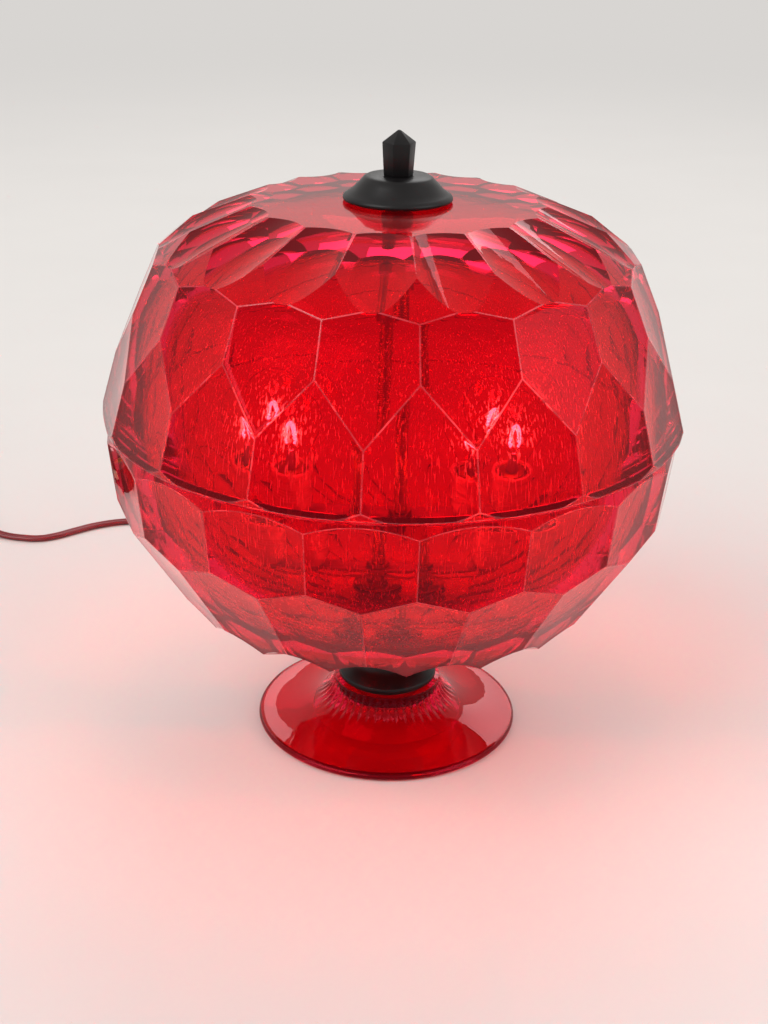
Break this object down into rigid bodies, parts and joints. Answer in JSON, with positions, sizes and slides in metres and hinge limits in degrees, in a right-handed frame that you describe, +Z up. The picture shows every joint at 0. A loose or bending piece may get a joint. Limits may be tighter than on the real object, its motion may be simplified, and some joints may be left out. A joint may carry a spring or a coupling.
{
  "type": "globe table lamp",
  "caption": "Table lamp with a faceted red glass globe in two shells on a flared glass foot, upright bulbs inside, a black cap and finial, and a flat cord with an inline switch.",
  "frame": {"origin": "centre of the foot's resting face, on the lamp's axis", "axes": "+Z up along the lamp's axis; the pictured front faces -Y; the two bulbs stand along X"},
  "size_m": [0.493, 0.3492, 0.283],
  "materials": {
    "ruby_glass": "pressed and fire polished, clear ruby red",
    "bulb_glass": "thin blown clear glass",
    "filament": "glass stem and glowing filament",
    "black_metal": "satin black paint",
    "brass": "turned, slightly dull",
    "steel": "zinc plated",
    "rubber": "matte moulded",
    "clear_ring": "thin translucent ring",
    "felt": "pressed felt",
    "bakelite": "moulded phenolic",
    "cord_fitting": "moulded plastic",
    "ivory": "moulded, knurled rim",
    "wire": "insulated wire",
    "cord_vinyl": "flat twin vinyl cord, dark red"
  },
  "bodies": {
    "stand": {"foot": "ruby_glass", "foot_ring": "rubber", "foot_washer": "steel", "foot_nut": "brass", "neck": "black_metal", "neck_ring": "rubber", "lower_bowl": "ruby_glass", "bowl_ring": "rubber", "bowl_plate": "brass", "bowl_nut": "brass", "seam_ring": "clear_ring", "lamp_pipe": "brass", "socket_bar": "steel", "bar_nuts": "brass", "top_coupling": "brass", "finial_stud": "steel", "socket_left": "bakelite", "socket_right": "bakelite", "screw_shell_left": "brass", "screw_shell_right": "brass", "socket_contact_left": "brass", "socket_contact_right": "brass", "socket_nipples": "brass", "socket_nuts": "brass", "supply_wires": "wire", "cord_bushing": "rubber", "cord_lead": "cord_vinyl", "cord_link": "cord_vinyl", "cord_coil": "cord_vinyl", "cord_tail": "cord_vinyl", "cord_tie": "rubber", "plug_body": "cord_fitting", "plug_blades": "brass", "switch_base": "cord_fitting", "switch_cover": "cord_fitting", "switch_screw": "brass"},
    "dome": {"upper_dome": "ruby_glass", "cap_felt": "felt", "top_cap": "black_metal"},
    "finial_knob": {"finial": "black_metal", "finial_insert": "brass"},
    "bulb_left": {"bulb_glass_left": "bulb_glass", "bulb_cap_left": "brass", "bulb_contact_left": "brass", "bulb_mount_left": "filament"},
    "bulb_right": {"bulb_glass_right": "bulb_glass", "bulb_cap_right": "brass", "bulb_contact_right": "brass", "bulb_mount_right": "filament"},
    "thumb_wheel": {"switch_wheel": "ivory"}
  },
  "joints": [
    {"name": "dome_lift", "type": "slide", "parent": "stand", "child": "dome", "axis": [0, 0, 1], "range_m": [0, 0.125]},
    {"name": "finial_turn", "type": "hinge", "parent": "dome", "child": "finial_knob", "pos_m": [0, 0, 0.27], "axis": [0, 0, 1], "range_deg": [0, 1800]},
    {"name": "bulb_left_turn", "type": "hinge", "parent": "stand", "child": "bulb_left", "pos_m": [-0.053, 0, 0.1], "axis": [0, 0, 1], "range_deg": [0, 1080]},
    {"name": "bulb_right_turn", "type": "hinge", "parent": "stand", "child": "bulb_right", "pos_m": [0.053, 0, 0.1], "axis": [0, 0, 1], "range_deg": [0, 1080]},
    {"name": "switch_turn", "type": "hinge", "parent": "stand", "child": "thumb_wheel", "pos_m": [-0.29, 0.1945, 0.0076], "axis": [0, 0, 1], "continuous": true}
  ]
}
